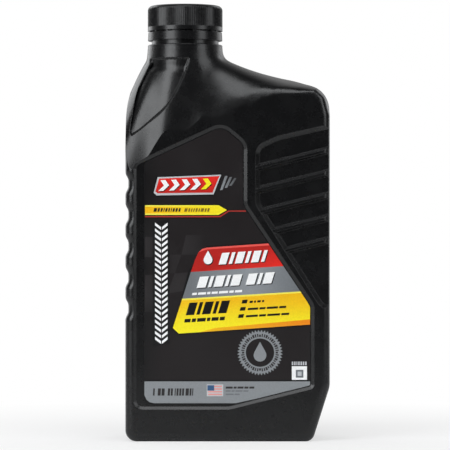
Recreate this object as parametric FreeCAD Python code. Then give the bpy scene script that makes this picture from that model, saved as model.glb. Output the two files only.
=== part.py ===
"""Motor oil bottle of one US quart: hollow blow-moulded body, screw cap, tamper band, seal disc and labels.

Millimetres. X is to the right, the label faces -Y, Z is up and the bottle stands on Z = 0.
"""
import FreeCAD, Part
import math
import os

from FreeCAD import Vector

os.makedirs("parts", exist_ok=True)

# Body
half_width = 54.9
half_depth = 26.0
wall = 0.9
edge_radius = 4.5
shoulder_top = 207.0
corner_radius = 14.0
left_shoulder_radius = 60.0
foot_radius = 6.0
chamfer_width = 9.4
chamfer_top = 29.5
base_recess = 2.0
base_margin = 9.0

# Neck, cap and band share this axis
neck_x = -23.1
collar_radius = 20.3
collar_flare = 0.6
collar_top = 214.1
neck_radius = 18.2
thread_root = 17.1
thread_height = 1.0
mouth_radius = 15.3
mouth_z = 232.3
bead_z = 218.3
bead_height = 0.65

# Screw thread: six turns to the inch
pitch = 25.4 / 6
thread_turns = 1.35
thread_start_z = 223.2
thread_base = 1.8
thread_tip = 0.8
thread_clearance = 0.25
flank_clearance = 0.12
taper_angle = 22.0

# Cap
cap_radius = 20.35
cap_wall = 1.8
cap_top = 235.4
cap_edge = 2.6
skirt_z = 221.6
ring_height = 2.2
cap_ribs = 116
rib_depth = 0.4
liner_clearance = 0.35

# Tamper band
bridge_height = 0.8
band_height = 4.4
band_wall = 1.1
band_flare = 0.15
band_clearance = 0.15
bridges = 8

# Finger grips down the left side
grips = 5
grip_pitch = 16.75
grip_first_z = 138.5
grip_length = 10.4
grip_floor = 4.8
grip_depth = 1.6
grip_outer_radius = 5.5
grip_inner_radius = 4.5

# Recesses in the faces
panel_depth = 1.0
panel_step = 1.8
panel_left = -50.6
label_left = -44.7
label_margin = 2.3
label_thickness = 0.2
hold_depth = 2.0
hold_step = 2.4
hold_ribs = 5
hold_rib_pitch = 12.05
hold_rib_top_z = 157.4
hold_rib_slope = 13.8
hold_rib_width = 3.8
hold_rib_land = 0.15
shoulder_panel_depth = 1.2

# Fall of the shoulder away from the collar: degrees from +X, slope at the collar, change of slope
shoulder_start = 206.4
shoulder_fall = [
    (0, 0.45, -0.0036),
    (20, 0.52, -0.0036),
    (30, 0.68, -0.0036),
    (45, 1.60, 0.0),
    (60, 3.60, 0.0),
    (90, 7.80, 0.0),
    (120, 5.00, 0.0),
    (150, 2.30, 0.01),
    (180, 1.40, 0.05),
]


def corner_data(points, inset):
    """Corners (x, y, radius) of a loop that runs anticlockwise, moved inwards by inset."""
    count = len(points)
    lines = []
    for i in range(count):
        x0, y0, _ = points[i]
        x1, y1, _ = points[(i + 1) % count]
        length = math.hypot(x1 - x0, y1 - y0)
        tx, ty = (x1 - x0) / length, (y1 - y0) / length
        lines.append((x0 - ty * inset, y0 + tx * inset, tx, ty))
    moved = []
    for i in range(count):
        ax, ay, atx, aty = lines[i - 1]
        bx, by, btx, bty = lines[i]
        turn = atx * bty - aty * btx
        along = ((bx - ax) * bty - (by - ay) * btx) / turn
        radius = points[i][2]
        if radius > 0:
            radius = max(radius - inset * (1 if turn > 0 else -1), 0.05)
        moved.append((ax + atx * along, ay + aty * along, radius))
    return moved


def rounded_wire(points, place, inset=0.0):
    """A closed wire of lines and arcs. place(x, y) puts a point of the loop in space."""
    corners = corner_data(points, inset)
    count = len(corners)
    ends = []
    edges = []
    for i in range(count):
        x, y, radius = corners[i]
        px, py, _ = corners[i - 1]
        nx, ny, _ = corners[(i + 1) % count]
        in_length = math.hypot(x - px, y - py)
        out_length = math.hypot(nx - x, ny - y)
        ax, ay = (x - px) / in_length, (y - py) / in_length
        bx, by = (nx - x) / out_length, (ny - y) / out_length
        half_turn = math.acos(max(-1.0, min(1.0, ax * bx + ay * by))) / 2
        reach = radius * math.tan(half_turn)
        start = (x - ax * reach, y - ay * reach)
        end = (x + bx * reach, y + by * reach)
        if radius > 0:
            mx, my = bx - ax, by - ay
            length = math.hypot(mx, my)
            away = radius / math.cos(half_turn) - radius
            middle = (x + mx / length * away, y + my / length * away)
            edges.append(Part.Arc(place(*start), place(*middle), place(*end)).toShape())
        ends.append((start, end))
    wire = []
    arcs = iter(edges)
    for i in range(count):
        if corners[i][2] > 0:
            wire.append(next(arcs))
        start, end = place(*ends[i][1]), place(*ends[(i + 1) % count][0])
        if start.distanceToPoint(end) > 1e-5:
            wire.append(Part.LineSegment(start, end).toShape())
    return Part.Wire(wire)


def face_wire(points, y, inset=0.0):
    return rounded_wire(points, lambda u, v: Vector(u, y, v), inset)


def plan_wire(points, z, inset=0.0):
    return rounded_wire(points, lambda u, v: Vector(u, v, z), inset)


def revolved(profile):
    """A solid turned about the neck's axis from (radius, z) points."""
    points = [Vector(neck_x + r, 0, z) for r, z in profile]
    wire = Part.makePolygon(points + [points[0]])
    return Part.Face(wire).revolve(Vector(neck_x, 0, 0), Vector(0, 0, 1), 360)


def mirrored(shape):
    """The same on the back face."""
    return shape.mirror(Vector(0, 0, 0), Vector(0, 1, 0))


def outline():
    """The bottle from the front, anticlockwise from its lower left corner."""
    slope = (half_width + 0.3) / 19.0
    points = [
        (-half_width, 0, foot_radius),
        (half_width - chamfer_width, 0, foot_radius - 1),
        (half_width, chamfer_top, corner_radius),
        (half_width, shoulder_top - half_width / slope, corner_radius),
        (0.0, shoulder_top + 0.1, 0),
        (neck_x - collar_radius - 0.8, shoulder_top + 0.1, 0),
        (-half_width, 190.1, left_shoulder_radius),
    ]
    for i in range(grips):
        z = grip_first_z - i * grip_pitch
        points += [
            (-half_width, z + grip_length / 2, grip_outer_radius),
            (-half_width + grip_depth, z + grip_floor / 2, grip_inner_radius),
            (-half_width + grip_depth, z - grip_floor / 2, grip_inner_radius),
            (-half_width, z - grip_length / 2, grip_outer_radius),
        ]
    return points


def fall(angle):
    """Slope and change of slope of the shoulder in one direction from the neck."""
    angle = abs((angle + 180) % 360 - 180)
    for (a0, m0, c0), (a1, m1, c1) in zip(shoulder_fall, shoulder_fall[1:]):
        if angle <= a1:
            t = (angle - a0) / (a1 - a0)
            t = t * t * (3 - 2 * t)
            return m0 + (m1 - m0) * t, c0 + (c1 - c0) * t
    return shoulder_fall[-1][1:]


def above_shoulder(inset):
    """What lies above the shoulder all round the neck, to be cut away from the body."""
    inner = 13.0
    start = collar_radius + collar_flare
    poles = []
    steps = 48
    for i in range(steps):
        angle = 360.0 * i / steps
        cos, sin = math.cos(math.radians(angle)), math.sin(math.radians(angle))
        side = half_width + 14 - (neck_x if cos > 0 else -neck_x)
        outer = (abs(cos / side) ** 6 + abs(sin / (half_depth + 9)) ** 6) ** (-1 / 6)
        slope, bend = fall(angle)
        drop = inset * math.hypot(1, slope)
        row = []
        for t in (0.0, 0.12, 0.35, 0.65, 1.0):
            r = inner + (outer - inner) * t
            s = r - start
            z = shoulder_start - slope * s - bend * max(s, 0) ** 2 - drop
            row.append(Vector(neck_x + r * cos, r * sin, z))
        poles.append(row)
    surface = Part.BSplineSurface()
    surface.buildFromPolesMultsKnots(
        poles,
        [1] * (steps + 1),
        [3, 1, 1, 3],
        [float(k) for k in range(steps + 1)],
        [0.0, 1.0, 2.0, 3.0],
        True,
        False,
        3,
        2,
    )
    return surface.toShape().extrude(Vector(0, 0, 300))


def body(inset):
    """The body without its neck, as a full solid whose skin is moved inwards by inset."""
    depth = half_depth - inset
    block = Part.Face(face_wire(outline(), -depth, inset)).extrude(Vector(0, 2 * depth, 0))
    edges = []
    for edge in block.Edges:
        box = edge.BoundBox
        flat = box.YLength < 1e-4 and abs(abs(box.YMin) - depth) < 1e-4
        if flat and box.ZMax < shoulder_top - 8:
            edges.append(edge)
    block = block.makeFillet(edge_radius - inset, edges)
    return block.cut(above_shoulder(inset))


def label_panel(left):
    """The field that carries the label, with its left edge where asked."""
    return [
        (left, 17.2, 5.0),
        (1.0, 17.2, 12.0),
        (46.5, 28.5, 3.0),
        (46.5, 73.5, 6.0),
        (10.5, 127.3, 6.0),
        (10.5, 160.4, 8.0),
        (-2.5, 171.6, 10.0),
        (left, 171.6 - (-2.5 - left) * 0.462, 5.0),
    ]


hold_panel = [
    (60.0, 171.5, 4.0),
    (26.6, 163.9, 20.0),
    (14.9, 158.5, 7.0),
    (14.9, 127.0, 8.0),
    (50.0, 71.5, 8.0),
    (60.0, 69.5, 4.0),
]

# The teardrop below the collar slopes in from its long curved side: its loop in front of and behind the skin
shoulder_panel_front = [
    (-54.0, 153.3, 1.0),
    (-27.7, 175.0, 95.0),
    (-9.9, 208.6, 4.0),
    (-43.4, 206.2, 0.6),
    (-49.6, 186.0, 60.0),
]
shoulder_panel_rear = [
    (-52.5, 173.0, 1.0),
    (-39.6, 184.5, 85.0),
    (-26.7, 208.6, 1.2),
    (-43.4, 206.2, 0.6),
    (-49.6, 186.0, 60.0),
]


def sunk(points, depth, step, grow=0.0, extra=0.0):
    """A shallow recess with sloping sides, cut into the front face."""
    rate = step / depth
    outer = face_wire(points, -half_depth - 1, -rate - grow)
    inner = face_wire(points, -half_depth + depth + extra, step - grow + rate * extra)
    return Part.makeLoft([outer, inner], True, True)


def teardrop(grow):
    """A tapered block over the shoulder panel, to be cut off at the panel's depth."""
    front = face_wire(shoulder_panel_front, -half_depth - 4, -grow)
    rear = face_wire(shoulder_panel_rear, -half_depth + 15, -grow)
    return Part.makeLoft([front, rear], True, True)


def hold_rib(index):
    """One raised bar across the hand hold."""
    z = hold_rib_top_z - index * hold_rib_pitch - hold_rib_width / 2
    rise = math.tan(math.radians(hold_rib_slope))
    lower, upper = -hold_rib_width / 2, hold_rib_width / 2
    left, right = -20.0, 60.0
    bar = [
        (left, z + lower + (left - 51) * rise, 0),
        (right, z + lower + (right - 51) * rise, 0),
        (right, z + upper + (right - 51) * rise, 0),
        (left, z + upper + (left - 51) * rise, 0),
    ]
    foot = face_wire(bar, -half_depth + hold_depth + 0.3, -0.3)
    top = face_wire(bar, -half_depth + hold_rib_land, 1.15)
    return Part.makeLoft([foot, top], True, True)


def base_field():
    right = half_width - chamfer_width
    side = half_depth - base_margin
    return [
        (-half_width + base_margin, -side, 8.0),
        (right - base_margin, -side, 8.0),
        (right - base_margin, side, 8.0),
        (-half_width + base_margin, side, 8.0),
    ]


def pushed_up(grow):
    """The hollow under the base."""
    low = plan_wire(base_field(), -1.0, -1.0 - grow)
    high = plan_wire(base_field(), base_recess + grow, 2.0 - grow)
    return Part.makeLoft([low, high], True, True)


def make_bottle():
    outer = body(0.0)
    inner = body(wall)
    flare = collar_radius + collar_flare
    neck = revolved([
        (0, 198),
        (flare, 198),
        (flare, shoulder_top),
        (collar_radius, collar_top - 1.5),
        (collar_radius, collar_top - 0.4),
        (collar_radius - 0.4, collar_top),
        (neck_radius, collar_top),
        (neck_radius, bead_z),
        (neck_radius + bead_height, bead_z),
        (neck_radius + bead_height, bead_z + 0.4),
        (thread_root, bead_z + 2.2),
        (thread_root, mouth_z - 0.5),
        (thread_root - 0.5, mouth_z),
        (0, mouth_z),
    ])
    throat = revolved([
        (0, 190),
        (collar_radius - 1.2, 190),
        (collar_radius - 1.2, collar_top - 3.2),
        (mouth_radius, collar_top + 0.4),
        (mouth_radius, mouth_z + 5),
        (0, mouth_z + 5),
    ])

    label_cut = sunk(label_panel(panel_left), panel_depth, panel_step)
    label_rise = sunk(label_panel(panel_left), panel_depth, panel_step, wall, wall)
    hold_cut = sunk(hold_panel, hold_depth, hold_step)
    for i in range(hold_ribs):
        hold_cut = hold_cut.cut(hold_rib(i))
    hold_rise = sunk(hold_panel, hold_depth, hold_step, wall, wall)

    shoulder_cut = teardrop(0.0).cut(body(shoulder_panel_depth))
    shoulder_rise = teardrop(wall).cut(body(shoulder_panel_depth + wall))

    for cut in (label_cut, hold_cut, shoulder_cut):
        outer = outer.cut(cut).cut(mirrored(cut))
    for rise in (label_rise, hold_rise, shoulder_rise):
        inner = inner.cut(rise).cut(mirrored(rise))
    outer = outer.cut(pushed_up(0.0))
    inner = inner.cut(pushed_up(wall))

    hollow = inner.fuse(throat)
    print("holds", round(hollow.common(Part.makeBox(200, 200, mouth_z, Vector(-100, -100, 0))).Volume / 1e6, 3), "l")
    solid = outer.fuse(neck).fuse(outer_thread()).cut(hollow)
    return solid.removeSplitter()


def ridge(root, tip, z, turns, start_angle):
    """A helical ridge between two radii. Its ends fade out over taper_angle degrees."""
    inside = min(root, tip)
    base, point = thread_base / 2, thread_tip / 2
    helix = Part.makeHelix(pitch, pitch * turns, inside)
    profile = Part.makePolygon([
        Vector(root, 0, -base),
        Vector(tip, 0, -point),
        Vector(tip, 0, point),
        Vector(root, 0, base),
        Vector(root, 0, -base),
    ])
    solid = Part.Wire(helix.Edges).makePipeShell([profile], True, True)
    for angle, level, side in ((0.0, 0.0, 1), (360.0 * turns, pitch * turns, -1)):
        near = math.radians(angle)
        far = math.radians(angle + side * taper_angle)
        a = Vector(root * math.cos(near), root * math.sin(near), level - pitch * 0.45)
        b = Vector(tip * math.cos(far), tip * math.sin(far), level - pitch * 0.45)
        along = (b - a).normalize()
        out = Vector(a.x, a.y, 0).normalize() * (1 if tip > root else -1)
        corners = [a - along * 4, b + along * 4, b + along * 4 + out * 8, a - along * 4 + out * 8]
        wedge = Part.Face(Part.makePolygon(corners + [corners[0]]))
        solid = solid.cut(wedge.extrude(Vector(0, 0, pitch * 0.9)))
    solid.rotate(Vector(0, 0, 0), Vector(0, 0, 1), start_angle)
    solid.translate(Vector(neck_x, 0, z))
    return solid


def outer_thread():
    return ridge(thread_root - 0.2, thread_root + thread_height, thread_start_z, thread_turns, -60)


def inner_thread():
    """The cap's ridge, which bears up under the neck's when the cap is tight."""
    bore = thread_root + thread_height + thread_clearance
    width = (thread_base + thread_tip) / 2
    z = thread_start_z - width - flank_clearance + pitch * 160 / 360
    return ridge(bore + 0.2, thread_root + thread_clearance, z, thread_turns, 100)


def make_cap():
    bore = thread_root + thread_height + thread_clearance
    ceiling = cap_top - cap_wall + 0.2
    turned = revolved([
        (0, skirt_z),
        (cap_radius, skirt_z),
        (cap_radius, cap_top),
        (0, cap_top),
    ])
    rim = [e for e in turned.Edges if abs(e.BoundBox.ZMin - cap_top) < 1e-4 and e.BoundBox.XLength > cap_radius]
    turned = turned.makeFillet(cap_edge, rim)
    star = []
    for i in range(2 * cap_ribs):
        angle = math.pi * i / cap_ribs
        r = cap_radius - (rib_depth if i % 2 else -0.02)
        star.append(Vector(neck_x + r * math.cos(angle), r * math.sin(angle), skirt_z + ring_height))
    core = Part.Face(Part.makePolygon(star + [star[0]])).extrude(Vector(0, 0, 20))
    sleeve = Part.makeCylinder(cap_radius + 2, 20, Vector(neck_x, 0, skirt_z + ring_height))
    turned = turned.cut(sleeve.cut(core))
    hole = revolved([
        (0, skirt_z - 1),
        (bore + 0.4, skirt_z - 1),
        (bore + 0.4, skirt_z),
        (bore, skirt_z + 0.4),
        (bore, ceiling),
        (0, ceiling),
    ])
    return turned.cut(hole).fuse(inner_thread()).removeSplitter()


def make_liner():
    bore = thread_root + thread_height + thread_clearance
    height = cap_top - cap_wall + 0.2 - mouth_z
    return Part.makeCylinder(bore - liner_clearance, height, Vector(neck_x, 0, mouth_z))


def make_band():
    top = skirt_z - bridge_height
    low = top - band_height
    inner = neck_radius + bead_height + band_clearance
    lip = neck_radius + band_clearance
    ring = revolved([
        (inner, top),
        (inner, bead_z - band_clearance),
        (lip, bead_z - band_clearance),
        (lip, low + 0.8),
        (lip + 0.5, low),
        (inner + band_wall + band_flare, low),
        (inner + band_wall, top),
    ])
    for i in range(bridges):
        post = Part.makeBox(band_wall - 0.3, 1.1, bridge_height + 0.2, Vector(inner + 0.1, -0.55, top - 0.2))
        post.rotate(Vector(0, 0, 0), Vector(0, 0, 1), 360 * (i + 0.35) / bridges)
        post.translate(Vector(neck_x, 0, 0))
        ring = ring.fuse(post)
    return ring.removeSplitter()


def make_label():
    floor = -half_depth + panel_depth
    points = label_panel(label_left - label_margin)
    return Part.Face(face_wire(points, floor, label_margin)).extrude(Vector(0, -label_thickness, 0))


label = make_label()
nodes = {
    "bottle": make_bottle(),
    "screw_cap": make_cap(),
    "seal_disc": make_liner(),
    "tamper_band": make_band(),
    "front_label": label,
    "back_label": mirrored(label),
}
for name, shape in nodes.items():
    print(name, shape.ShapeType, len(shape.Solids), shape.isValid(), round(shape.Volume), len(shape.Faces))
    shape.exportStep("parts/" + name + ".step")
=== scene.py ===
"""Looks of the motor oil bottle: moulded black plastic, printed film labels, studio light and camera."""
import math

import bmesh
import bpy
import numpy as np
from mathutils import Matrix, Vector
from mathutils.geometry import delaunay_2d_cdt


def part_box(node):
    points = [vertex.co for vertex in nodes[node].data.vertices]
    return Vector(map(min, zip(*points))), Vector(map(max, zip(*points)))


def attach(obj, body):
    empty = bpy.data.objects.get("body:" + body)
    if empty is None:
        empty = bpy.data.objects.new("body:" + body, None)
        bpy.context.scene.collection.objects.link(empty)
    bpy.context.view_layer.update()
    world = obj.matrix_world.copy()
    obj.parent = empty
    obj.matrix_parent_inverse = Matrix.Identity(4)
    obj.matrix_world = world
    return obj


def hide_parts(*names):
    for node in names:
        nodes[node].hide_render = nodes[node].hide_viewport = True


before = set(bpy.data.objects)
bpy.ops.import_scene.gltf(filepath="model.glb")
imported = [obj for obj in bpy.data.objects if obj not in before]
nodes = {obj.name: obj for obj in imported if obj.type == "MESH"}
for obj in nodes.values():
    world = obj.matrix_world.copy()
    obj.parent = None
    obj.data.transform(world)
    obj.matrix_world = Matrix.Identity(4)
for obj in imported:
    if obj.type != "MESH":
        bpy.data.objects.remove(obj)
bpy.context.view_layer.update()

# The photograph's view, in metres and in its pixels

PHOTO_WIDTH = 450
VIEW_WIDTH = 0.24525
CAMERA_DISTANCE = 1.5
CAMERA_HEIGHT = 0.1162
CAMERA_X = -0.00139
MIDDLE_X, MIDDLE_Y = 225, 222
MIDDLE_LEVEL = 0.1178

# The labels: how far their faces are from Y = 0, and the size of a pixel there

LABEL_DEPTH = 0.0252
LABEL_THICKNESS = 0.0002
PIXEL = VIEW_WIDTH / PHOTO_WIDTH * (1 - LABEL_DEPTH / CAMERA_DISTANCE)

# Moulded plastic: roughness, heights of its slow waviness and of its seam, the seam's half widths at top
# and foot, and how much smoother than its ribs the cap's side is

PLASTIC_ROUGHNESS = 0.27
SWAY_HEIGHT = 0.00018
SEAM_HEIGHT = 0.00012
SEAM_TOP = 0.00015
SEAM_FOOT = 0.00045
CAP_SMOOTHING = 0.6

# The softened shoulder. Pairs in brackets are ranges over which an effect comes in or ends.
# Edges of the skin above SKIN_LOW are split down to SKIN_EDGE, and round the ledge to FINE_EDGE.

COLLAR_TOP = 0.2141
SKIN_LOW = 0.171
SKIN_EDGE = 0.0014
FINE_EDGE = SKIN_EDGE * 0.4
FINE_LOW, FINE_HIGH = 0.2015, 0.2085
FINE_LEFT, FINE_RIGHT = -0.0445, -0.0175
SPLIT_ROUNDS = 8
SKIN_ROUNDS = 45
SKIN_PULL = 0.6
SHOULDER_START = (0.1735, 0.1790)
SHOULDER_END = (0.2095, 0.2120)
FOOT_START = (0.2040, 0.2058)
FOOT_END = (0.2085, 0.2110)
TEARDROP_X, TEARDROP_Z, TEARDROP_SLOPE = -0.0099, 0.2086, 0.53
TEARDROP_EDGE = (0.0025, 0.0060)
LEDGE_X, LEDGE_Z, LEDGE_SLOPE = -0.0200, 0.2062, 0.4
LEDGE_DEPTH = 0.0008
LEDGE_START = (0.1985, 0.2025)
LEDGE_END = (0.2056, 0.2063)
LEDGE_LEFT = (-0.0425, -0.0412)
LEDGE_RIGHT = 0.0012

# Lamps: name, azimuth in degrees, height, distance, width, tall, watts

SOFTBOXES = (
    ("left_softbox", -46, 0.68, 1.3, 0.75, 1.15, 12.5),
    ("right_softbox", 54, 0.68, 1.3, 0.60, 1.15, 5),
    ("top_softbox", 0, 1.5, 0.9, 1.3, 0.7, 10),
    ("back_left_softbox", -138, 0.55, 1.3, 0.8, 1.2, 5),
    ("back_right_softbox", 138, 0.55, 1.3, 0.8, 1.2, 3),
)
LAMP_COLOUR = (0.96, 0.98, 1.0)
LAMP_AIM = (0, 0, 0.12)
WHITE = (1, 1, 1, 1)
FLOOR_HALF = 6.0


def srgb(red, green, blue):
    """Linear colour of screen values from 0 to 255."""
    out = []
    for value in (red, green, blue):
        c = value / 255
        out.append(c / 12.92 if c <= 0.04045 else ((c + 0.055) / 1.055) ** 2.4)
    return (*out, 1.0)


def new_object(name, data):
    item = bpy.data.objects.new(name, data)
    bpy.context.scene.collection.objects.link(item)
    return item


# Materials


def new_material(name):
    """A material with its node tree, its shader and the place on the object."""
    material = bpy.data.materials.new(name)
    material.use_nodes = True
    tree = material.node_tree
    return material, tree, tree.nodes["Principled BSDF"], add(tree, "ShaderNodeTexCoord").outputs["Object"]


def add(tree, kind, inputs=None, **settings):
    node = tree.nodes.new(kind)
    for key, value in settings.items():
        setattr(node, key, value)
    for key, value in (inputs or {}).items():
        if isinstance(value, bpy.types.NodeSocket):
            tree.links.new(value, node.inputs[key])
        else:
            node.inputs[key].default_value = value
    return node


def math_node(tree, operation, a, b=0.0, c=0.0):
    return add(tree, "ShaderNodeMath", {0: a, 1: b, 2: c}, operation=operation).outputs[0]


def vector_node(tree, operation, *inputs):
    return add(tree, "ShaderNodeVectorMath", dict(enumerate(inputs)), operation=operation).outputs


def axis_of(tree, vector, axis):
    return add(tree, "ShaderNodeSeparateXYZ", {"Vector": vector}).outputs[axis]


def ramp(tree, value, low, high, low_out, high_out):
    """A straight change of value from low_out to high_out, held beyond low and high."""
    inputs = {"Value": value, 1: low, 2: high, 3: low_out, 4: high_out}
    return add(tree, "ShaderNodeMapRange", inputs, clamp=True).outputs[0]


def noise(tree, place, scale, detail, roughness=0.5):
    inputs = {"Vector": place, "Scale": scale, "Detail": detail, "Roughness": roughness}
    return add(tree, "ShaderNodeTexNoise", inputs).outputs["Fac"]


def grey(tree, tone, blue=None):
    """A grey of that tone, with a blue of its own if one is given."""
    inputs = {"Red": tone, "Green": tone, "Blue": tone if blue is None else blue}
    return add(tree, "ShaderNodeCombineColor", inputs).outputs["Color"]


def bump(tree, height, strength, distance, **more):
    inputs = {"Height": height, "Strength": strength, "Distance": distance}
    inputs.update(more)
    return add(tree, "ShaderNodeBump", inputs).outputs["Normal"]


def set_shader(tree, shader, inputs):
    """Links sockets to the shader and sets its plain numbers on its own sockets."""
    for key, value in inputs.items():
        if isinstance(value, bpy.types.NodeSocket):
            tree.links.new(value, shader.inputs[key])
        else:
            shader.inputs[key].default_value = value


def round_normal(tree, place, normal, centre, radius, share):
    """The normal of a ribbed cylinder's side, turned by share towards that of a smooth one."""
    away = vector_node(tree, "SUBTRACT", place, centre)[0]
    level = vector_node(tree, "MULTIPLY", away, (1.0, 1.0, 0.0))[0]
    length = vector_node(tree, "LENGTH", level)["Value"]
    radial = vector_node(tree, "NORMALIZE", level)[0]
    upright = math_node(tree, "ABSOLUTE", axis_of(tree, normal, "Z"))
    side = ramp(tree, upright, 0.15, 0.5, share, 0.0)
    outside = ramp(tree, length, radius - 0.0012, radius - 0.0008, 0.0, 1.0)
    factor = math_node(tree, "MULTIPLY", side, outside)
    mixed = add(tree, "ShaderNodeMix", {"Factor": factor, "A": normal, "B": radial}, data_type="VECTOR")
    return vector_node(tree, "NORMALIZE", mixed.outputs["Result"])[0]


def moulded_plastic(name, colour, rough, grain, edge, seam=False, cylinder=None):
    """Black polyolefin with orange-peel grain, soft edges and faint scuffs.

    grain is the grain's height and edge the soft edges' radius. seam adds a mould seam on Y = 0, and
    cylinder is the centre, radius and share of a ribbed side that is made smoother.
    """
    material, tree, shader, place = new_material(name)
    peel = noise(tree, place, 420.0, 3.0, 0.6)
    sway = noise(tree, place, 28.0, 2.0)
    rub = noise(tree, place, 90.0, 6.0, 0.7)
    height = math_node(tree, "MULTIPLY", peel, grain)
    height = math_node(tree, "MULTIPLY_ADD", sway, SWAY_HEIGHT, height)
    if seam:
        away = math_node(tree, "ABSOLUTE", axis_of(tree, place, "Y"))
        ridge = ramp(tree, away, SEAM_TOP, SEAM_FOOT, SEAM_HEIGHT, 0.0)
        height = math_node(tree, "ADD", height, ridge)
    normal = add(tree, "ShaderNodeBevel", {"Radius": edge}, samples=6).outputs["Normal"]
    if cylinder:
        normal = round_normal(tree, place, normal, *cylinder)
    dust = ramp(tree, rub, 0.45, 0.85, 0.0, 0.2)
    dusty = tuple(min(1.0, 1.8 * c + 0.004) for c in colour[:3]) + (1.0,)
    tint = add(tree, "ShaderNodeMix", {"Factor": dust, "A": colour, "B": dusty}, data_type="RGBA")
    set_shader(tree, shader, {
        "Base Color": tint.outputs["Result"],
        "Roughness": ramp(tree, rub, 0.35, 0.75, rough - 0.03, rough + 0.05),
        "Normal": bump(tree, height, 1.0, 1.0, Normal=normal),
        "IOR": 1.5,
    })
    return material


def foam(name):
    """Closed-cell foam of the seal disc."""
    material, tree, shader, place = new_material(name)
    cells = add(tree, "ShaderNodeTexVoronoi", {"Vector": place, "Scale": 2600.0}).outputs["Distance"]
    tone = ramp(tree, cells, 0.1, 0.8, 0.72, 0.86)
    set_shader(tree, shader, {
        "Base Color": grey(tree, tone, math_node(tree, "MULTIPLY", tone, 0.95)),
        "Roughness": 0.8,
        "Normal": bump(tree, cells, 0.3, 0.0001),
    })
    return material


def printed_film(name):
    """Smooth film whose colour is printed on, with a faint ripple and an uneven varnish."""
    material, tree, shader, place = new_material(name)
    ink = add(tree, "ShaderNodeAttribute", attribute_name="print", attribute_type="GEOMETRY").outputs["Color"]
    speck = noise(tree, place, 1400.0, 3.0, 0.6)
    ripple = noise(tree, place, 35.0, 2.0)
    shade = grey(tree, ramp(tree, speck, 0.3, 0.7, 0.94, 1.05))
    inputs = {"Factor": 1.0, "A": ink, "B": shade}
    colour = add(tree, "ShaderNodeMix", inputs, data_type="RGBA", blend_type="MULTIPLY")
    set_shader(tree, shader, {
        "Base Color": colour.outputs["Result"],
        "Roughness": ramp(tree, ripple, 0.3, 0.7, 0.30, 0.40),
        "Normal": bump(tree, ripple, 0.5, 0.00025),
        "IOR": 1.46,
    })
    return material


# Label print: fields of colour on one sheet of film, drawn in the photo's pixels

INK = {
    "ground": srgb(30, 26, 27),
    "shade": srgb(17, 16, 17),
    "smoke": srgb(44, 41, 42),
    "black": srgb(12, 12, 13),
    "white": srgb(252, 252, 252),
    "silver": srgb(196, 198, 201),
    "grey": srgb(140, 144, 147),
    "steel": srgb(112, 116, 120),
    "pale_steel": srgb(146, 150, 154),
    "red": srgb(238, 42, 34),
    "deep_red": srgb(186, 34, 28),
    "bright_red": srgb(240, 92, 84),
    "line_red": srgb(176, 52, 44),
    "yellow": srgb(255, 240, 36),
    "gold": srgb(250, 190, 22),
    "lemon": srgb(255, 244, 90),
    "orange": srgb(245, 140, 24),
    "rose": srgb(228, 150, 146),
    "navy": srgb(58, 92, 132),
    "umber": srgb(132, 106, 30),
}


def field(points, ink, far_ink=None, start=None, end=None):
    """A polygon of print. With far_ink the colour changes evenly from start to end."""
    return {"points": points, "ink": ink, "far": far_ink, "start": start, "end": end}


def rectangle(left, top, right, bottom):
    return [(left, top), (right, top), (right, bottom), (left, bottom)]


def polar(x, y, radius, angle):
    return x + radius * math.cos(angle), y - radius * math.sin(angle)


def round_shape(x, y, radius, count=36):
    return [polar(x, y, radius, 2 * math.pi * i / count) for i in range(count)]


def drop_shape(x, y, radius):
    """A drop of oil with its point up."""
    arc = [polar(x, y, radius, math.radians(152 + i * (236 / 18))) for i in range(19)]
    return [(x, y - 2.1 * radius)] + arc


def serrated(x, y, radius, depth, teeth):
    radii = (radius - depth, radius)
    return [polar(x, y, radii[i % 2], math.pi * i / teeth) for i in range(2 * teeth)]


def chevron(x, y):
    corners = ((0, -5.4), (5.0, -5.6), (8.6, -0.3), (2.8, 5.2), (-2.2, 5.4), (3.4, -0.1))
    return [(x + dx, y + dy) for dx, dy in corners]


def strokes(start, low, widths, gap, tall, lean=0.0, fall=0.0, ink="black", shadow=0.0):
    """A row of slanted strokes from its lower left corner.

    lean is how far a stroke's top is to the right, fall the row's slope and shadow a black copy's shift.
    """
    fields = []
    layers = [(shadow, "black")] if shadow else []
    for shift, colour in layers + [(0.0, ink)]:
        x = start
        for wide in widths:
            left = x + shift
            y = low - fall * (x - start) + shift
            fields.append(field([
                (left, y),
                (left + lean, y - tall),
                (left + lean + wide, y - tall - fall * wide),
                (left + wide, y - fall * wide),
            ], colour))
            x += wide + gap
    return fields


def edge_shade():
    """The darker ground along the label's left edge."""
    return field(rectangle(140, 120, 162, 415), "shade", "ground", (144, 0), (162, 0))


def front_print():
    """The front label from the back layer to the front one."""
    upper = [(186, 235), (205, 235), (199, 254.6), (181.5, 254.6)]
    middle = [(168, 254.6), (181.5, 254.6), (174.8, 273.3), (168, 273.3)]
    lower = [(174.8, 273.3), (190.4, 272.2), (186, 290.4), (168, 293.5), (168, 291)]
    checks = [
        field(rectangle(145, 237, 153, 257), "smoke", "ground", (140, 0), (175, 0)),
        field(rectangle(145, 275, 153, 293.5), "smoke", "ground", (140, 0), (175, 0)),
        field(rectangle(145, 293.5, 153, 312), "smoke", "shade", (145, 290), (145, 330)),
        field(upper, "smoke", "ground", (186, 0), (206, 0)),
        field(middle, "smoke", "ground", (186, 0), (160, 0)),
        field(lower, "smoke"),
    ]
    top = arrow_bar() + badge() + side_stripe()
    return [edge_shade()] + checks + top + slanted_block() + seal_mark() + foot_strip()


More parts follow.
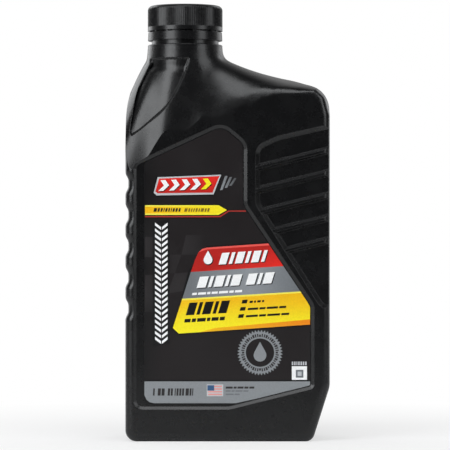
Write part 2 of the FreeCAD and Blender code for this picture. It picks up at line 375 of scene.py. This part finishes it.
def arrow_bar():
    """A yellow bar that ends in a point, with rows of strokes on it and a red line under it."""
    rim = [(145, 204.3), (219, 204.3), (228.6, 210), (219, 215.8), (145, 215.8)]
    bar = [(145, 205.2), (218.6, 205.2), (227, 210), (218.6, 214.9), (145, 214.9)]
    middle = [(145, 206.6), (218, 206.6), (224.4, 210), (218, 213.4), (145, 213.4)]
    line = [
        (145, 216.0), (219.6, 216.0), (228.4, 210.5), (246, 210.5),
        (246, 211.6), (229, 211.6), (220.2, 217.2), (145, 217.2),
    ]
    dark = (3.0, 2.0, 2.0, 1.0, 2.0, 1.6, 1.0, 2.0, 2.0, 2.0)
    light = (3.0, 1.8, 1.4, 1.4, 2.0, 1.4, 3.0, 1.8, 2.0)
    return [
        field(rim, "black"),
        field(bar, "lemon", "yellow", (145, 0), (227, 0)),
        field(middle, "gold", "yellow", (150, 0), (226, 0)),
        field(rectangle(145, 217.2, 220.2, 218.3), "black"),
        field(line, "line_red"),
        *strokes(153.4, 211.7, dark, gap=0.9, tall=3.6, lean=0.9, ink="ground"),
        *strokes(184.0, 211.7, light, gap=0.9, tall=3.4, lean=0.9, ink="umber"),
    ]


def badge():
    """A slanted plate with chevrons and three slanted bars beside it."""
    rim = [(156.4, 176), (222.6, 173.4), (214.4, 195.4), (156, 196.6), (152.2, 193.6)]
    frame_line = [(157.6, 177.2), (221.2, 174.6), (213.6, 194.4), (156.6, 195.4), (153.6, 192.8)]
    plate = [(159.2, 178.6), (219.4, 176.1), (212.5, 192.6), (157.6, 193.2), (155.4, 191.4)]
    fields = [
        field(rim, "black"),
        field(frame_line, "silver"),
        field(plate, "red", "deep_red", (0, 176), (0, 196)),
    ]
    for i in range(5):
        x = 160.5 + i * 10.6
        y = 185.6 - i * 0.4
        ink = "white" if i < 4 else "yellow"
        for shift, part in ((0.7, "black"), (0.0, ink)):
            fields.append(field(chevron(x + shift, y + shift), part))
    for i in range(3):
        x = 223 + i * 4.6
        bar = [(x + 2, 176 + i), (x + 4.6, 175.9 + i), (x - 0.4, 190 - i * 2.2), (x - 3, 190.2 - i * 2.2)]
        fields.append(field(bar, "grey", "ground", (222, 0), (240, 0)))
    return fields


def side_stripe():
    """An upright tread pattern, white on black."""
    fields = [field([(152.8, 222.5), (169.6, 219), (169.6, 343.5), (152.8, 347)], "black")]
    pitch, thick, dip = 5.7, 2.9, 4.4
    for i in range(21):
        y = 222.6 + i * pitch
        for x, far in ((161.0, 155.0), (161.9, 167.6)):
            fields.append(field([(x, y + dip), (far, y), (far, y + thick), (x, y + dip + thick)], "white"))
    return fields


def slanted_block():
    """Red, grey and yellow bands in one slanted outline, with rows of strokes on them."""
    red_top = [(198.4, 252.4), (202.2, 248.9), (207, 247.6), (270.2, 243.2), (271.6, 243.9)]
    red = [(190.8, 272), (195.6, 258.5)] + red_top + [(286, 265.9)]
    red_edge = red_top + [(272.6, 245.2), (207.4, 249.4), (203.2, 250.6)]
    grey_left = [(190.8, 272), (286, 265.9), (300.8, 291.4), (182.2, 298.8)]
    grey_right = [(250, 268.2), (286, 265.9), (300.8, 291.4), (250, 294.6)]
    yellow = [
        (182.2, 298.8), (300.8, 291.4), (305.6, 299), (309.6, 306), (312, 311.6), (313.2, 317),
        (313.4, 324.3), (240, 329.4), (178.8, 333.6), (172.8, 328),
    ]
    yellow_edge = [(182.2, 298.8), (300.8, 291.4), (301.8, 292.9), (181.8, 300.4)]
    orange = [(215, 328), (313.3, 319), (313.4, 324.3), (240, 329.4), (200, 332.2)]
    shadow = [
        (188.5, 271), (206, 245.8), (272.4, 241.6), (303, 291), (315, 313),
        (315, 325.8), (178.4, 335.4), (171, 328.6), (181, 298),
    ]
    fields = [
        field(shadow, "black"),
        field(red, "deep_red", "red", (268, 246), (277, 268)),
        field(red_edge, "bright_red"),
        field(grey_left, "steel", "pale_steel", (184, 0), (250, 0)),
        field(grey_right, "pale_steel", "steel", (250, 0), (298, 0)),
        field(yellow, "gold", "yellow", (0, 298), (0, 324)),
        field(yellow_edge, "lemon"),
        field(orange, "gold", "orange", (215, 0), (285, 0)),
        field(drop_shape(208.6, 260.4, 4.9), "black"),
        field(drop_shape(208.0, 259.8, 4.4), "white"),
    ]
    shaded = {"ink": "white", "shadow": 0.9}
    broad = (9.0, 3.2, 9.0, 3.2, 9.0)
    small = (4.6, 7.8, 3.2, 6.0, 9.0, 4.4, 7.0)
    fields += strokes(218.5, 264.6, (7.5, 3.4) * 3, gap=2.6, tall=11.6, lean=3.6, fall=0.066, **shaded)
    fields += strokes(196.5, 288.0, broad, gap=2.3, tall=11.2, lean=3.4, fall=0.064, **shaded)
    fields += strokes(245.5, 284.9, broad[:3], gap=2.3, tall=11.2, lean=3.4, fall=0.064, **shaded)
    fields += strokes(192.0, 295.2, small, gap=1.3, tall=2.3, lean=0.4, fall=0.062, ink="white")
    fields += strokes(185.6, 315.4, (8.4, 3.4, 8.4, 3.4, 8.4), gap=2.2, tall=12.6, lean=3.8, fall=0.06)
    fields += strokes(184.2, 322.6, (6.0, 4.2, 8.6, 3.4, 7.0, 5.0), gap=1.2, tall=3.6, lean=0.7, fall=0.06)
    for i, right in enumerate((264, 286, 289)):
        left, y = 241.4 - i * 1.8, 303.6 + i * 7.2
        mark = [(left, y), (left + 1.1, y - 3.6), (left + 6.4, y - 4), (left + 5.4, y - 0.3)]
        fields.append(field(mark, "black"))
        unit = (right - left - 12) / 4
        widths = [unit * k for k in (1.2, 0.7, 1.3, 0.8)]
        fields += strokes(left + 8, y - 0.6, widths, gap=1.3, tall=2.2, lean=0.5, fall=0.06)
    return fields


def ring_ticks(x, y, count=48):
    """Fine uneven marks all round a ring."""
    ticks = []
    for i in range(count):
        angle = 2 * math.pi * i / count
        inner, outer = 15.7, (18.9 if i % 4 else 18.0)
        across = 0.035 if i % 3 else 0.055
        corners = ((inner, -across), (outer, -across), (outer, across), (inner, across))
        ticks.append(field([polar(x, y, r, angle + a) for r, a in corners], "smoke"))
    return ticks


def seal_mark():
    """A serrated ring with a drop in it, and a white patch beside it."""
    x, y = 260, 352.6
    return [
        field(serrated(x, y, 22.8, 2.5, 44), "grey"),
        *ring_ticks(x, y),
        field(round_shape(x, y, 14.2), "ground"),
        field(drop_shape(x, y + 2.6, 6.4), "grey"),
        field(rectangle(291.8, 366.2, 307, 381.2), "white"),
        field(rectangle(295.8, 369.8, 303.4, 377.6), "steel"),
        field(rectangle(297.6, 371.6, 301.6, 375.8), "silver"),
        *strokes(291.8, 365.2, (1.5, 1.5, 1.0, 1.5, 1.5, 1.5, 1.5), gap=0.8, tall=3.6, ink="silver"),
    ]


def foot_band():
    """The black line and the grey strip along the label's foot."""
    strip = [
        (144.4, 381.4), (316, 381.4), (311.8, 385.2), (307, 387.4), (240.5, 402.2),
        (236, 403.2), (154, 403.2), (149.6, 402.2), (146.4, 399.6), (144.4, 395),
    ]
    return [field(rectangle(140, 379.8, 316, 410), "black"), field(strip, "grey")]


def foot_strip():
    """The foot band with rows of strokes and a small striped panel."""
    fields = foot_band() + [field(rectangle(206.8, 384.4, 223.2, 396.2), "silver")]
    for i in range(4):
        y = 385.6 + i * 2.7
        fields.append(field(rectangle(208, y, 222, y + 1.4), "rose"))
    fields.append(field(rectangle(207.4, 385.2, 214.2, 390.6), "navy"))
    groups = (
        (152.9, (1.6,)),
        (157.6, (3.0, 3.0)),
        (167.6, (2.2, 2.0)),
        (174.5, (1.0, 2.0, 2.0, 2.0)),
        (185.4, (3.2, 1.8, 1.0)),
    )
    for start, widths in groups:
        fields += strokes(start, 395.6, widths, gap=0.8, tall=7.2, lean=0.4, ink="smoke")
    fields += strokes(225.6, 388.6, (7.0, 3.0, 6.0, 4.0, 5.0), gap=0.9, tall=2.0, lean=0.2, ink="smoke")
    fields += strokes(225.6, 391.7, (5.0, 3.0, 7.0, 5.0), gap=0.9, tall=1.4, lean=0.2, ink="steel")
    fields += strokes(225.6, 395.0, (8.0, 5.0), gap=0.9, tall=1.4, lean=0.2, ink="steel")
    return fields


def back_print():
    """A plain back: two panels with ruled lines, a yellow bar and the foot band."""
    fields = [
        edge_shade(),
        field([(152, 223), (250, 223), (294, 292), (152, 292)], "steel"),
        field([(153, 224), (249.4, 224), (292, 291), (153, 291)], "pale_steel"),
    ]
    for i in range(9):
        y = 230 + i * 6.6
        right = 247 + max(0.0, (y - 224) * 0.6)
        fields.append(field(rectangle(157, y, right - 6, y + 1.4), "ground"))
    fields.append(field([(152, 300), (302, 300), (306, 306), (306, 372), (152, 372)], "smoke"))
    for i in range(8):
        y = 306 + i * 7.8
        fields.append(field(rectangle(157, y, 300, y + 1.6), "grey"))
    return fields + arrow_bar() + foot_band()


def photo_place(x, y):
    """Where a pixel of the photo falls on the front label, in metres."""
    return CAMERA_X + (x - MIDDLE_X) * PIXEL, MIDDLE_LEVEL + (MIDDLE_Y - y) * PIXEL


def photo_pixel(x, z):
    return MIDDLE_X + (x - CAMERA_X) / PIXEL, MIDDLE_Y - (z - MIDDLE_LEVEL) / PIXEL


def outline_of(node, level):
    """The closed edge of a flat CAD face whose points all have that Y, in order."""
    mesh = nodes[node].data
    flat = [p for p in mesh.polygons if all(abs(mesh.vertices[v].co.y - level) < 2e-6 for v in p.vertices)]
    seen = set()
    for p in flat:
        corners = [mesh.vertices[v].co for v in p.vertices]
        ring = [(round(c.x, 7), round(c.z, 7)) for c in corners]
        seen.update((a, b) for a, b in zip(ring, ring[1:] + ring[:1]) if a != b)
    following = {a: b for a, b in sorted(seen) if (b, a) not in seen}
    start = next(iter(following))
    loop = [start]
    while following[loop[-1]] != start:
        loop.append(following[loop[-1]])
    return loop


def ink_at(item, x, z):
    """Linear colour of one field at a place on the label."""
    if item["far"] is None:
        return INK[item["ink"]]
    px, py = photo_pixel(x, z)
    (ax, ay), (bx, by) = item["start"], item["end"]
    dx, dy = bx - ax, by - ay
    t = max(0.0, min(1.0, ((px - ax) * dx + (py - ay) * dy) / (dx * dx + dy * dy)))
    return tuple(a + (b - a) * t for a, b in zip(INK[item["ink"]], INK[item["far"]]))


def signed_area(loop):
    """Twice the area in a closed row of corners, above 0 where it runs anticlockwise."""
    return sum(a[0] * b[1] - b[0] * a[1] for a, b in zip(loop, loop[1:] + loop[:1]))


def cut_film(outline, fields):
    """The outline in triangles along the fields' edges: places, triangles and the top field of each."""
    places, faces = [], []
    for loop in [outline] + [[photo_place(*p) for p in f["points"]] for f in fields]:
        loop = loop if signed_area(loop) > 0 else loop[::-1]
        faces.append(list(range(len(places), len(places) + len(loop))))
        places += [Vector((x * 1000, z * 1000)) for x, z in loop]
    verts, _, tris, _, _, sources = delaunay_2d_cdt(places, [], faces, 1, 1e-5)
    kept = [(tri, max(source)) for tri, source in zip(tris, sources) if 0 in source]
    used = sorted({v for tri, _ in kept for v in tri})
    index = {v: i for i, v in enumerate(used)}
    flat = [(verts[v].x / 1000, verts[v].y / 1000) for v in used]
    return flat, [[index[v] for v in tri] for tri, _ in kept], [top for _, top in kept]


def film_sheet(flat, triangles, tops, side):
    """A closed sheet of film: its points, its faces and the field on each, with 0 for the bare film."""
    level = side * LABEL_DEPTH
    back = level - side * LABEL_THICKNESS
    count = len(flat)
    points = [(x, level, z) for x, z in flat] + [(x, back, z) for x, z in flat]
    polys = [ring if side < 0 else ring[::-1] for ring in triangles]
    edges = {}
    for ring, top in zip(polys, tops):
        for a, b in zip(ring, ring[1:] + ring[:1]):
            edges[(a, b)] = top
    polys += [[v + count for v in ring[::-1]] for ring in polys]
    inks = tops + [0] * len(tops)
    for (a, b), top in edges.items():
        if (b, a) not in edges:
            polys.append([b, a, a + count, b + count])
            inks.append(top)
    return points, polys, inks


def print_label(node, fields, side):
    """One sheet of film with its print as fields of its face. side is -1 for the front and 1 for the back."""
    flat, triangles, tops = cut_film(outline_of(node, side * LABEL_DEPTH), fields)
    points, polys, inks = film_sheet(flat, triangles, tops, side)
    mesh = bpy.data.meshes.new(node + "_film")
    mesh.from_pydata(points, [], polys)
    colours = mesh.color_attributes.new("print", "FLOAT_COLOR", "CORNER")
    bare = field([], "ground")
    for poly, ink in zip(mesh.polygons, inks):
        item = fields[ink - 1] if ink else bare
        for corner in poly.loop_indices:
            x, _, z = points[mesh.loops[corner].vertex_index]
            colours.data[corner].color = ink_at(item, x, z)
    mesh.materials.append(film)
    piece = new_object(node + "_film", mesh)
    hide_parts(node)
    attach(piece, "bottle")


# The bottle with a softer shoulder

cap_low, cap_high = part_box("screw_cap")
cap_centre = ((cap_low[0] + cap_high[0]) / 2, (cap_low[1] + cap_high[1]) / 2, 0.0)


def step(value, low, high):
    """0 below low, 1 above high and a smooth rise between."""
    t = max(0.0, min(1.0, (value - low) / (high - low)))
    return t * t * (3 - 2 * t)


def shoulder_share(point):
    """How far a place on the skin is smoothed, from 0 to 1.

    It takes in the shoulder right of the teardrop, and the collar's foot.
    """
    teardrop_x = TEARDROP_X - TEARDROP_SLOPE * (TEARDROP_Z - point.z)
    shoulder = step(point.z, *SHOULDER_START) * step(point.x - teardrop_x, *TEARDROP_EDGE)
    shoulder *= 1 - step(point.z, *SHOULDER_END)
    foot = step(point.z, *FOOT_START) * (1 - step(point.z, *FOOT_END))
    return max(shoulder, foot)


def ledge(point):
    """How far the skin steps in below the collar at the top of the teardrop, in metres."""
    edge = LEDGE_X - (LEDGE_Z - point.z) * LEDGE_SLOPE
    height = step(point.z, *LEDGE_START) * (1 - step(point.z, *LEDGE_END))
    return LEDGE_DEPTH * height * step(point.x, *LEDGE_LEFT) * (1 - step(point.x, edge - LEDGE_RIGHT, edge))


def longest_edge(point):
    """How long an edge of the skin may stay at a place."""
    if FINE_LOW < point.z < FINE_HIGH and FINE_LEFT < point.x < FINE_RIGHT:
        return FINE_EDGE
    return SKIN_EDGE if point.z > SKIN_LOW else 1.0


def outer_skin(bm):
    """The faces that are reached from the front without passing over the collar into the neck."""
    front = Vector((0.02, -0.026, 0.178))
    start = min(bm.faces, key=lambda f: (f.calc_center_median() - front).length)
    seen, stack = {start}, [start]
    while stack:
        for edge in stack.pop().edges:
            for face in edge.link_faces:
                if face not in seen and max(v.co.z for v in face.verts) < COLLAR_TOP + 1e-4:
                    seen.add(face)
                    stack.append(face)
    return seen


def split_skin(bm, skin):
    """Splits the skin's edges until none is longer than it may be."""
    for _ in range(SPLIT_ROUNDS):
        long_edges = [e for e in bm.edges if e.calc_length() > min(longest_edge(v.co) for v in e.verts)]
        edges = [e for e in long_edges if any(face[skin] for face in e.link_faces)]
        if not edges:
            break
        bmesh.ops.subdivide_edges(bm, edges=edges, cuts=1)
        bmesh.ops.triangulate(bm, faces=[f for f in bm.faces if len(f.verts) > 3])


def smooth(bm, share):
    """Draws each vertex towards the middle of its neighbours, by its share."""
    bm.verts.index_update()
    places = np.array([v.co for v in bm.verts])
    size = len(places)
    ends = np.array([[v.index, e.other_vert(v).index] for v in share for e in v.link_edges])
    count = np.maximum(np.bincount(ends[:, 0], minlength=size), 1)
    pull = np.zeros(size)
    for v, w in share.items():
        pull[v.index] = SKIN_PULL * w
    for _ in range(SKIN_ROUNDS):
        for axis in range(3):
            total = np.bincount(ends[:, 0], places[ends[:, 1], axis], minlength=size)
            places[:, axis] += (total / count - places[:, axis]) * pull
    for v in share:
        v.co = places[v.index]


def rounded(place):
    return tuple(round(c, 5) for c in place)


def corner_normals(mesh, source, soft):
    """A normal for each corner: smooth at the vertices in soft, and elsewhere the CAD's own."""
    known = {}
    for corner, normal in zip(source.loops, source.corner_normals):
        place = rounded(source.vertices[corner.vertex_index].co)
        known.setdefault(place, []).append(Vector(normal.vector))
    vertex_normals = [Vector(n.vector) for n in mesh.vertex_normals]
    normals = []
    for face in mesh.polygons:
        for index in face.vertices:
            kept = known.get(rounded(mesh.vertices[index].co))
            if index in soft:
                normals.append(vertex_normals[index])
            elif kept:
                normals.append(max(kept, key=lambda n: n.dot(face.normal)))
            else:
                normals.append(face.normal.copy())
    return normals


def softened_bottle(source):
    """A copy of the bottle in which the shoulder runs softly into the collar and the faces."""
    bm = bmesh.new()
    bm.from_mesh(source.data)
    bmesh.ops.remove_doubles(bm, verts=bm.verts, dist=2e-6)
    skin = bm.faces.layers.int.new("skin")
    for face in outer_skin(bm):
        face[skin] = 1
    split_skin(bm, skin)
    verts = {v for f in bm.faces if f[skin] for v in f.verts}
    bm.faces.layers.int.remove(skin)
    share = {v: shoulder_share(v.co) for v in bm.verts if v in verts}
    share = {v: w for v, w in share.items() if w > 0}
    smooth(bm, share)
    soft = {v.index for v in share}
    axis = Vector(cap_centre)
    for v in verts:
        depth = ledge(v.co)
        if depth > 0:
            v.co += (axis - Vector((v.co.x, v.co.y, 0.0))).normalized() * depth
            soft.add(v.index)
    bm.normal_update()
    mesh = bpy.data.meshes.new("bottle_body")
    bm.to_mesh(mesh)
    bm.free()
    if "custom_normal" in mesh.attributes:
        mesh.attributes.remove(mesh.attributes["custom_normal"])
    normals = corner_normals(mesh, source.data, soft)
    mesh.polygons.foreach_set("use_smooth", [True] * len(mesh.polygons))
    mesh.normals_split_custom_set(normals)
    mesh.materials.append(bottle_black)
    piece = new_object("bottle_body", mesh)
    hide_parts("bottle")
    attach(piece, "bottle")


cap_side = (cap_centre, (cap_high[0] - cap_low[0]) / 2, CAP_SMOOTHING)
bottle_black = moulded_plastic(
    "bottle_black", srgb(14, 14, 15), PLASTIC_ROUGHNESS, grain=0.000008, edge=0.00045, seam=True,
)
cap_black = moulded_plastic(
    "cap_black", srgb(15, 15, 16), PLASTIC_ROUGHNESS, grain=0.000004, edge=0.0001, cylinder=cap_side,
)
film = printed_film("label_film_print")

softened_bottle(nodes["bottle"])
shown = {"screw_cap": cap_black, "tamper_band": cap_black, "seal_disc": foam("white_foam")}
for name, material in shown.items():
    nodes[name].data.materials.clear()
    nodes[name].data.materials.append(material)

print_label("front_label", front_print(), -1)
print_label("back_label", back_print(), 1)


# Studio


def floor():
    """A pale floor that keeps the bottle's shadow, looks white to the camera and has painted shade in front.
    """
    mesh = bpy.data.meshes.new("floor")
    corners = [(x * FLOOR_HALF, y * FLOOR_HALF, 0) for x, y in ((-1, -1), (1, -1), (1, 1), (-1, 1))]
    mesh.from_pydata(corners, [], [(0, 1, 2, 3)])
    plane = new_object("floor", mesh)
    material, tree, shader, place = new_material("floor_paper")
    grain = noise(tree, place, 300.0, 2.0)
    # Painted shade: the floor's colour darkens towards the front, so that the black plastic reflects a dark
    # front.
    dim = ramp(tree, axis_of(tree, place, "Y"), -0.7, -0.15, 0.08, 1.0)
    tone = math_node(tree, "MULTIPLY", ramp(tree, grain, 0.3, 0.7, 0.90, 0.94), dim)
    set_shader(tree, shader, {"Base Color": grey(tree, tone), "Roughness": 0.9, "Specular IOR Level": 0.0})
    glow = add(tree, "ShaderNodeEmission", {"Color": WHITE, "Strength": 1.0})
    rays = add(tree, "ShaderNodeLightPath")
    apart = vector_node(tree, "LENGTH", place)["Value"]
    white = ramp(tree, apart, 0.06, 0.32, 0.6, 1.0)
    share = math_node(tree, "MULTIPLY", rays.outputs["Is Camera Ray"], white)
    inputs = {"Fac": share, 1: shader.outputs["BSDF"], 2: glow.outputs["Emission"]}
    mix = add(tree, "ShaderNodeMixShader", inputs)
    tree.links.new(mix.outputs["Shader"], tree.nodes["Material Output"].inputs["Surface"])
    mesh.materials.append(material)


def softbox(name, azimuth, height, distance, width, tall, power):
    """An area lamp that faces the bottle. Azimuth is seen from the camera, positive to the right."""
    lamp = bpy.data.lights.new(name, "AREA")
    lamp.shape = "RECTANGLE"
    lamp.size, lamp.size_y = width, tall
    lamp.energy = power
    lamp.color = LAMP_COLOUR
    item = new_object(name, lamp)
    angle = math.radians(azimuth)
    item.location = (math.sin(angle) * distance, -math.cos(angle) * distance, height)
    aim = Vector(LAMP_AIM) - item.location
    item.rotation_euler = aim.to_track_quat("-Z", "Y").to_euler()


def sky():
    """White to the camera, pale behind the bottle and dim in front, so that the black plastic stays black."""
    world = bpy.data.worlds.new("studio")
    bpy.context.scene.world = world
    world.use_nodes = True
    tree = world.node_tree
    tree.nodes.clear()
    direction = add(tree, "ShaderNodeTexCoord").outputs["Generated"]
    behind = ramp(tree, axis_of(tree, direction, "Y"), 0.0, 0.6, 0.03, 0.45)
    rays = add(tree, "ShaderNodeLightPath")
    strength = math_node(tree, "MAXIMUM", behind, rays.outputs["Is Camera Ray"])
    back = add(tree, "ShaderNodeBackground", {"Color": WHITE, "Strength": strength})
    add(tree, "ShaderNodeOutputWorld", {"Surface": back.outputs["Background"]})


def camera():
    data = bpy.data.cameras.new("camera")
    data.sensor_width = 36.0
    data.lens = 36.0 * CAMERA_DISTANCE / VIEW_WIDTH
    data.clip_start, data.clip_end = 0.05, 50
    item = new_object("camera", data)
    item.location = (CAMERA_X, -CAMERA_DISTANCE, CAMERA_HEIGHT)
    item.rotation_euler = (math.radians(90), 0, 0)
    bpy.context.scene.camera = item


floor()
sky()
for lamp in SOFTBOXES:
    softbox(*lamp)
camera()
bpy.context.scene.view_settings.view_transform = "Standard"
